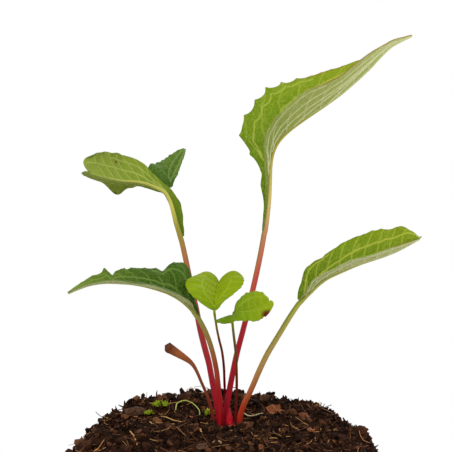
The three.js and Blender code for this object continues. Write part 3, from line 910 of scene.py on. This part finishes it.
def soil_material(name):
    def build(tree):
        where = place(tree)
        tint = stored(tree, "tint")
        grain = speckle(tree, where, 700, 5, 0.65)
        clumps = speckle(tree, where, 190, 4)
        blend = plus(tree, times(tree, clumps, 0.55), times(tree, tint, 0.5))
        color = ramp(tree, blend, [(0.2, rgb(20, 10, 6)), (0.42, rgb(46, 26, 16)), (0.64, rgb(84, 52, 34)),
                                   (0.9, rgb(146, 98, 62))])
        color = shaded(tree, times(tree, grain, 0.55), color, (0.42, 0.34, 0.28))
        rough = plus(tree, 0.66, times(tree, grain, 0.3))
        return color, rough, grain, 0.0005

    return finish_material(name, build, Specular_IOR_Level=0.06)


def soil(height, material):
    """The whole mound as one body, with a rough surface that settles at the pot's wall."""
    low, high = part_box("soil")
    edge_z = height(high.x * 0.995, 0)
    radius = high.x
    turns = np.linspace(0, 2 * math.pi, SOIL_SECTORS, endpoint=False)
    reaches = radius * np.linspace(1, 1 / SOIL_RINGS, SOIL_RINGS) ** 0.9
    points = []
    base = 0.72 * radius
    for reach, level in ((base, low.z), (base * 1.02, low.z + 2 * MM), (radius, edge_z - 12 * MM)):
        points += circle(reach, level, turns)
    for reach in reaches:
        fade = min(1, (radius - reach) / (3 * MM))
        for a in turns:
            x, y = reach * math.cos(a), reach * math.sin(a)
            points.append((x, y, height(x * 0.997, y * 0.997) + fade * ruffle(x, y)))
    faces = closed_faces(len(points) // SOIL_SECTORS, SOIL_SECTORS)
    points += [(0, 0, low.z), (0, 0, height(0, 0))]
    tint = {"tint": np.full(len(points), 0.3)}
    put(make_object("soil_mound", points, faces, material, tint), "soil", "soil")


def blob(seed, roughness, detail):
    """A lumpy ball of radius 1: points and faces."""
    form = bmesh.new()
    bmesh.ops.create_icosphere(form, subdivisions=detail, radius=1.0)
    points = np.array([v.co for v in form.verts])
    faces = [tuple(v.index for v in f.verts) for f in form.faces]
    form.free()
    shift = Vector((seed * 3.1, seed * 1.7, seed * 0.9))
    swell = []
    for point in points:
        lumps = noise.noise(Vector(point) * 1.5 + shift)
        grit = noise.noise(Vector(point) * 3.4 + shift)
        swell.append(1 + roughness * (lumps + 0.6 * grit))
    return points * np.array(swell)[:, None], faces


def shard(seed):
    """A clod of size 1 with flat broken sides: points and faces."""
    points, faces = blob(seed, 0.55, 2)
    ways = unit(RNG.normal(size=(9, 3)))
    for way in ways:
        beyond = np.maximum(points @ way - RNG.uniform(0.35, 0.75), 0)
        points = points - beyond[:, None] * way
    return points, faces


def spin(axis, angle):
    """A rotation matrix about an axis."""
    x, y, z = unit(np.array(axis, float))
    c, s = math.cos(angle), math.sin(angle)
    cross = np.array([[0, -z, y], [z, 0, -x], [-y, x, 0]])
    return np.eye(3) * c + s * cross + (1 - c) * np.outer((x, y, z), (x, y, z))


def crumbs(height, material):
    """Loose crumbs, clods and slivers all over the mound."""
    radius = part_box("soil")[1].x
    shapes = [shard(k) for k in range(CRUMB_SHAPES)]
    batches = [([], []) for _ in range(CRUMB_BATCHES)]
    for k in range(CRUMB_COUNT):
        reach = (radius - 1.5 * MM) * math.sqrt(RNG.random())
        turn = RNG.random() * 2 * math.pi
        size = min(CRUMB_SIZE * math.exp(abs(RNG.normal()) * 0.6), CRUMB_LIMIT)
        spread = RNG.uniform(0.6, 1.35, 3)
        if k % SLIVER_EVERY == 0:
            spread = np.array([0.45, 0.5, RNG.uniform(1.8, 3)])
            size = min(size, SLIVER_LIMIT)
        matrix = spin(RNG.normal(size=3), RNG.random() * 6.28)
        tint = RNG.random() ** 2.2
        if reach < CRUMB_CLEARING:
            continue
        x, y = reach * math.cos(turn), reach * math.sin(turn)
        shape, shape_faces = shapes[k % len(shapes)]
        bodies, tints = batches[k % len(batches)]
        lift = ruffle(x, y) + size * 0.35
        spot = (x, y, height(x, y) + lift)
        bodies.append(((shape * spread) @ matrix * size + spot, shape_faces))
        tints.append(np.full(len(shape), tint))
    for number, (bodies, tints) in enumerate(batches):
        tints = {"tint": np.concatenate(tints)}
        name = f"soil_crumbs_{number + 1}"
        put(make_object(name, *merged(bodies), material, tints, rounded=False), "soil")


def strand_material(name, light, dark):
    """Fine streaks between two colours."""
    def build(tree):
        where = place(tree)
        streak = speckle(tree, where, 900, 4, 0.6)
        color = ramp(tree, streak, [(0.3, rgb(*dark)), (0.65, rgb(*light))])
        return color, 0.7, streak, 0.0002

    return finish_material(name, build, Specular_IOR_Level=0.1)


def strands():
    """Straws, fibres and the twig that lie where the CAD strands do."""
    straw = strand_material("straw", (206, 160, 96), (150, 104, 56))
    fibre = strand_material("bark_fibre", (176, 104, 52), (104, 58, 34))
    wood = strand_material("twig", (110, 76, 54), (58, 38, 28))
    rootlet = strand_material("rootlet", (214, 200, 158), (166, 150, 98))
    kinds = {"bark_fibre": (fibre, "litter"), "twig": (wood, "bark"), "pale_rootlet": (rootlet, "sprout")}
    for node in sorted(n for n in frame["nodes"] if n.startswith("straw_") or n in kinds):
        material, slot = kinds.get(node, (straw, "straw"))
        line, radii = centre_line(node, STRAND_ROWS)
        line[:, 2] += 0.25 * MM * np.sin(np.linspace(0, 9, STRAND_ROWS))
        radii *= 1 + 0.18 * np.sin(np.arange(STRAND_ROWS) * 2.3)
        points, faces, _, _ = tube(line, radii, 9, squash=0.6)
        put(make_object(node + "_blade", points, faces, material), slot, node)


def fine_fibres(height):
    """Short loose fibres of peat and straw all over the soil."""
    kinds = [(DARK_FIBRES, strand_material("fibre_dark", (120, 78, 48), (62, 38, 26))),
             (PALE_FIBRES, strand_material("fibre_pale", (196, 146, 88), (132, 88, 50)))]
    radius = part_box("soil")[1].x
    q = np.linspace(-0.5, 0.5, FIBRE_POINTS)
    for count, material in kinds:
        bodies = []
        for _ in range(count):
            reach = (radius - FIBRE_EDGE) * math.sqrt(RNG.random())
            turn, heading = RNG.random(2) * 2 * math.pi
            length = RNG.uniform(3, 11) * MM
            curve = RNG.uniform(-1, 1)
            rise = RNG.random() ** 4 * 6 * MM
            thick = RNG.uniform(0.1, 0.24) * MM
            if reach < FIBRE_CLEARING:
                continue
            ahead = np.array([math.cos(heading), math.sin(heading)])
            aside = np.array([-math.sin(heading), math.cos(heading)])
            spot = reach * np.array([math.cos(turn), math.sin(turn)])
            x, y = (spot + length * (q[:, None] * ahead + curve * q[:, None] ** 2 * aside)).T
            z = [height(a, b) + max(ruffle(a, b), 0) for a, b in zip(x, y)]
            line = np.stack([x, y, np.maximum(z, np.mean(z)) + thick + rise * (q + 0.5)], axis=1)
            bodies.append(tube(line, np.full(FIBRE_POINTS, thick), 5)[:2])
        put(make_object(material.name, *merged(bodies), material), "straw")


def chunk(node, slot, material, roughness):
    """A rough lump as large as the CAD one, sunk a little into the soil."""
    low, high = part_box(node)
    points, faces = blob(len(node), roughness, 4)
    grain = [1 + 0.05 * math.sin(p[1] * 22 + 3 * noise.noise(Vector(p) * 2)) for p in points]
    points = points * np.array(grain)[:, None] * np.array((high - low) / 2) + np.array((low + high) / 2)
    points[:, 2] -= LUMP_SINK
    tint = {"tint": np.full(len(points), 0.55)}
    put(make_object(node + "_body", points, faces, material, tint), slot, node)


def chip(node, slot, material):
    """A curled flake with a ragged outline, as large as the CAD chip and lying the same way."""
    points, _ = welded(node)
    centre = points.mean(0)
    axes = np.linalg.svd(points - centre)[2]
    size = np.ptp((points - centre) @ axes.T, axis=0) / 2
    u, v = np.meshgrid(np.linspace(-1, 1, CHIP_COLUMNS), np.linspace(-1, 1, CHIP_ROWS))
    ragged = 1 + 0.22 * np.array([[noise.noise(Vector((a * 2, b * 2, len(node)))) for a, b in zip(p, q)]
                                  for p, q in zip(u, v)])
    outline = np.sqrt(np.clip(1 - 0.55 * np.abs(v) ** 2.4, 0, 1))
    curl = 0.28 * size[1] * (u ** 2 + 0.4 * v ** 2) + 0.12 * size[1] * np.sin(5 * v + 2 * u)
    flat = np.stack([v * size[0] * ragged, u * outline * size[1] * ragged, curl], axis=2)
    half_thick = np.array([0, 0, max(size[2], 0.35 * MM) / 2])
    points, faces = thick_sheet(flat + half_thick, flat - half_thick)
    put(make_object(node + "_flake", points @ axes + centre, faces, material), slot, node)


def moss(node, material):
    """A cushion of short pointed shoots over a CAD lump."""
    low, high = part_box(node)
    centre, size = np.array((low + high) / 2), np.array((high - low) / 2)
    widths = MOSS_RADIUS * np.array([0.6, 1, 0.9, 0.6, 0.15])
    bodies = []
    for _ in range(MOSS_SHOOTS):
        way = RNG.normal(size=3)
        way[2] = abs(way[2]) + 0.35
        way = unit(way)
        start = centre + way * size * 0.45 - (0, 0, 0.5 * MM)
        end = centre + way * size * RNG.uniform(1.0, 1.5) + RNG.normal(size=3) * 0.5 * MM
        line = start + (end - start) * np.linspace(0, 1, len(widths))[:, None]
        bodies.append(tube(line, widths, 6, squash=0.4)[:2])
    put(make_object(node + "_shoots", *merged(bodies), material), "moss", node)


def litter(soil_paint):
    bark = strand_material("bark", (96, 66, 46), (40, 26, 20))
    leaf_litter = strand_material("leaf_litter", (150, 88, 48), (86, 48, 30))
    pale_wood = strand_material("pale_wood", (206, 176, 128), (160, 122, 78))
    green = strand_material("moss", (170, 184, 36), (92, 116, 14))
    chunk("bark_chunk", "bark", bark, 0.22)
    chunk("round_clod", "bark", soil_paint, 0.4)
    chunk("right_clod", "soil", soil_paint, 0.5)
    chunk("wood_chip", "straw", pale_wood, 0.3)
    for node in ("moss_tuft", "moss_sprig", "moss_strip"):
        moss(node, green)
    for node in sorted(n for n in frame["nodes"] if "chip" in n and n != "wood_chip"):
        if node.startswith("litter") or node == "bark_chip_right":
            chip(node, "litter", leaf_litter)
        else:
            chip(node, "bark", bark)


def sprout():
    """The pale looping stalk of a weed seedling."""
    line, radii = centre_line("weed_sprout", SPROUT_ROWS)
    foot = line[:, 2].min()
    line[:, 2] = foot + (line[:, 2] - foot) * SPROUT_DROOP
    points, faces, _, _ = tube(line, radii * SPROUT_THINNING, 12)
    material = strand_material("sprout", (196, 200, 110), (140, 158, 54))
    put(make_object("weed_seedling", points, faces, material), "sprout", "weed_sprout")


def roots():
    """The crown that shows between the stalks, and the roots below it: the CAD node, painted."""
    materials = frame["nodes"]["root_crown"].data.materials
    materials.clear()
    materials.append(strand_material("root_skin", (150, 96, 66), (84, 50, 36)))


# --- Pot ---------------------------------------------------------------------------------------

POT_SIDES = 240
POT_CORNER = 0.8 * MM
POT_STEP = 6 * MM
DRAIN_HOLE_RADIUS = 4.5 * MM
DRILL_LENGTH = 30 * MM


def pot_profile():
    """The CAD pot's outer and inner outlines as (radius, height), up the outside, down the inside."""
    points, _ = welded("pot")
    column = points[(np.abs(points[:, 1]) < 1e-6) & (points[:, 0] >= -1e-9)]
    outline = np.unique(np.round(column[:, [0, 2]], 6), axis=0)
    top = outline[:, 1].max()
    base = outline[outline[:, 1] < 1e-6][:, 0].max()
    rim_in = outline[outline[:, 1] > top - 1e-6][:, 0].min()
    radii, levels = outline.T
    in_the_wall = base - 1.5 * MM + (rim_in - base + 2 * MM) * levels / top
    outer = outline[(radii > in_the_wall) & (radii > 0)]
    inner = outline[(radii <= in_the_wall) & (levels > 0)]
    upwards = np.lexsort((outer[:, 0], outer[:, 1]))
    downwards = np.lexsort((-inner[:, 0], -inner[:, 1]))
    return outer[upwards], inner[downwards]


def pot_material():
    def build(tree):
        where = place(tree)
        blotch = speckle(tree, where, 14, 5, 0.6)
        grit = speckle(tree, where, 1400, 3, 0.7)
        pits = add(tree, "TexVoronoi", {"Vector": where, "Scale": 420.0}).outputs["Distance"]
        lines = speckle(tree, stretched(tree, where, (3, 3, 420)), 1.0, 2)
        level = add(tree, "SeparateXYZ", {"Vector": where}).outputs["Z"]
        foot = calc(tree, "SUBTRACT", 1.0, times(tree, level, 16.0))
        bloom = times(tree, calc(tree, "SUBTRACT", speckle(tree, where, 38, 5, 0.7), 0.42), 2.4)
        color = ramp(tree, blotch, [(0.3, rgb(158, 84, 52)), (0.5, rgb(184, 104, 68)),
                                    (0.72, rgb(204, 128, 88))])
        color = shaded(tree, times(tree, grit, 0.35), color, (0.62, 0.52, 0.46))
        color = shaded(tree, times(tree, lines, 0.25), color, (0.78, 0.7, 0.66))
        bloom = times(tree, bloom, plus(tree, 0.12, times(tree, foot, 0.6)))
        color = mix(tree, bloom, color, rgb(222, 204, 184))
        rough = plus(tree, 0.74, times(tree, grit, 0.2))
        rough_skin = plus(tree, times(tree, grit, 0.3), times(tree, pits, 0.12))
        height = plus(tree, times(tree, lines, 0.6), rough_skin)
        return color, rough, height, 0.0005

    return finish_material("terracotta", build)


def clay_pot():
    """The pot turned from its CAD outline, slightly uneven as hand-finished clay is."""
    outer, inner = pot_profile()
    path = [(0, 0)] + [tuple(p) for p in outer] + [tuple(p) for p in inner if p[0] > 0.01]
    floor = inner[:, 1].min()
    path = [p for k, p in enumerate(path) if k == 0 or p != path[k - 1]] + [(0, floor)]
    fine = soften(path)
    angles = np.linspace(0, 2 * math.pi, POT_SIDES, endpoint=False)
    points = []
    for radius, level in fine[1:-1]:
        wobble = 0.12 * MM * np.sin(3 * angles + level * 40) + 0.08 * MM * np.sin(7 * angles - level * 90)
        reach = radius + wobble * (level > 2 * MM)
        height = np.full(POT_SIDES, level)
        points += list(np.stack([reach * np.cos(angles), reach * np.sin(angles), height], axis=1))
    points += [(0, 0, fine[0][1]), (0, 0, fine[-1][1])]
    faces = closed_faces(len(fine) - 2, POT_SIDES)
    piece = make_object("clay_pot", points, faces, pot_material())
    drill_holes(piece)
    put(piece, "terracotta", "pot")


def soften(path):
    """Adds points along a profile and rounds its corners a little."""
    result = [path[0]]
    for before, corner, after in zip(path, path[1:], path[2:]):
        before, corner, after = (np.array(p) for p in (before, corner, after))
        room = 0.4 * min(np.linalg.norm(corner - before), np.linalg.norm(after - corner))
        reach = min(POT_CORNER, room)
        start = corner + unit(before - corner) * reach
        end = corner + unit(after - corner) * reach
        for t in np.linspace(0, 1, 5):
            result.append(tuple((1 - t) ** 2 * start + 2 * t * (1 - t) * corner + t ** 2 * end))
    result.append(path[-1])
    spread = [result[0]]
    for a, b in zip(np.array(result), np.array(result[1:])):
        steps = max(1, int(np.hypot(*(b - a)) / POT_STEP))
        spread += [tuple(a + (b - a) * k / steps) for k in range(1, steps + 1)]
    return spread


def drill_holes(piece):
    """Cuts the drain holes where the record's openings are."""
    for opening in frame["record"]["physics"]["openings"]:
        low, high = (np.array(corner) for corner in opening["box_m"])
        centre = (low + high) / 2
        bpy.ops.mesh.primitive_cylinder_add(vertices=48, radius=DRAIN_HOLE_RADIUS, depth=DRILL_LENGTH,
                                            location=centre)
        drill = bpy.context.object
        cut = piece.modifiers.new("drain", "BOOLEAN")
        cut.operation = "DIFFERENCE"
        cut.object = drill
        with bpy.context.temp_override(object=piece, active_object=piece):
            bpy.ops.object.modifier_apply(modifier=cut.name)
        bpy.data.objects.remove(drill)


# --- Studio ------------------------------------------------------------------------------------

FLOOR_RADIUS = 0.75
FLOOR_SIDES = 96


def floor():
    """A pale round floor that fades out, so the background behind it stays white."""
    angles = np.linspace(0, 2 * math.pi, FLOOR_SIDES, endpoint=False)
    points = circle(FLOOR_RADIUS, 0, angles)
    material, shader = new_material("floor")
    tree = material.node_tree
    reach = add(tree, "VectorMath", {0: place(tree)}, operation="LENGTH").outputs["Value"]
    span = {"Value": reach, "From Min": 0.35, "From Max": 0.62, "To Min": 1.0, "To Max": 0.0}
    fade = add(tree, "MapRange", span)
    feed(shader, {"Base Color": (0.86, 0.86, 0.85, 1), "Roughness": 0.7,
                  "Alpha": fade.outputs["Result"]})
    make_object("floor", points, [tuple(range(FLOOR_SIDES))], material)


def light(name, location, power, size, target=(0, 0, 0.22)):
    lamp = bpy.data.lights.new(name, "AREA")
    lamp.energy = power
    lamp.size = size
    holder = bpy.data.objects.new(name, lamp)
    holder.location = location
    holder.rotation_euler = (Vector(target) - Vector(location)).to_track_quat("-Z", "Y").to_euler()
    bpy.context.scene.collection.objects.link(holder)


def studio():
    floor()
    light("key", (-0.7, -1.0, 1.3), 15, 0.9)
    light("fill", (1.1, -0.9, 0.7), 5, 1.2)
    light("rim", (0.4, 1.0, 1.2), 8, 0.9)
    world = bpy.data.worlds.new("studio")
    world.use_nodes = True
    tree = world.node_tree
    backdrop = add(tree, "Background", {"Color": (1, 1, 1, 1), "Strength": 1.0})
    ambient = tree.nodes["Background"]
    feed(ambient, {"Color": (1, 1, 1, 1), "Strength": 0.62})
    seen = add(tree, "LightPath").outputs["Is Camera Ray"]
    blend = add(tree, "MixShader", {0: seen, 1: ambient.outputs[0], 2: backdrop.outputs[0]})
    feed(tree.nodes["World Output"], {"Surface": blend.outputs[0]})
    scene = bpy.context.scene
    scene.world = world
    scene.view_settings.view_transform = "Standard"
    scene.view_settings.look = "None"


def camera():
    lens = bpy.data.cameras.new("camera")
    lens.angle = 2 * math.atan(VIEW_WIDTH / 2 / VIEW_DISTANCE)
    lens.clip_start = 0.01
    holder = bpy.data.objects.new("camera", lens)
    target = Vector(VIEW_TARGET)
    back = Vector((0, -math.cos(VIEW_ELEVATION), math.sin(VIEW_ELEVATION)))
    holder.location = target + back * VIEW_DISTANCE
    holder.rotation_euler = (-back).to_track_quat("-Z", "Y").to_euler()
    bpy.context.scene.collection.objects.link(holder)
    bpy.context.scene.camera = holder


plant_leaves()
withered_stalk()
bud()
mound = soil_height()
soil_paint = soil_material("soil")
soil(mound, soil_paint)
crumbs(mound, soil_paint)
fine_fibres(mound)
strands()
litter(soil_paint)
sprout()
roots()
clay_pot()
studio()
camera()
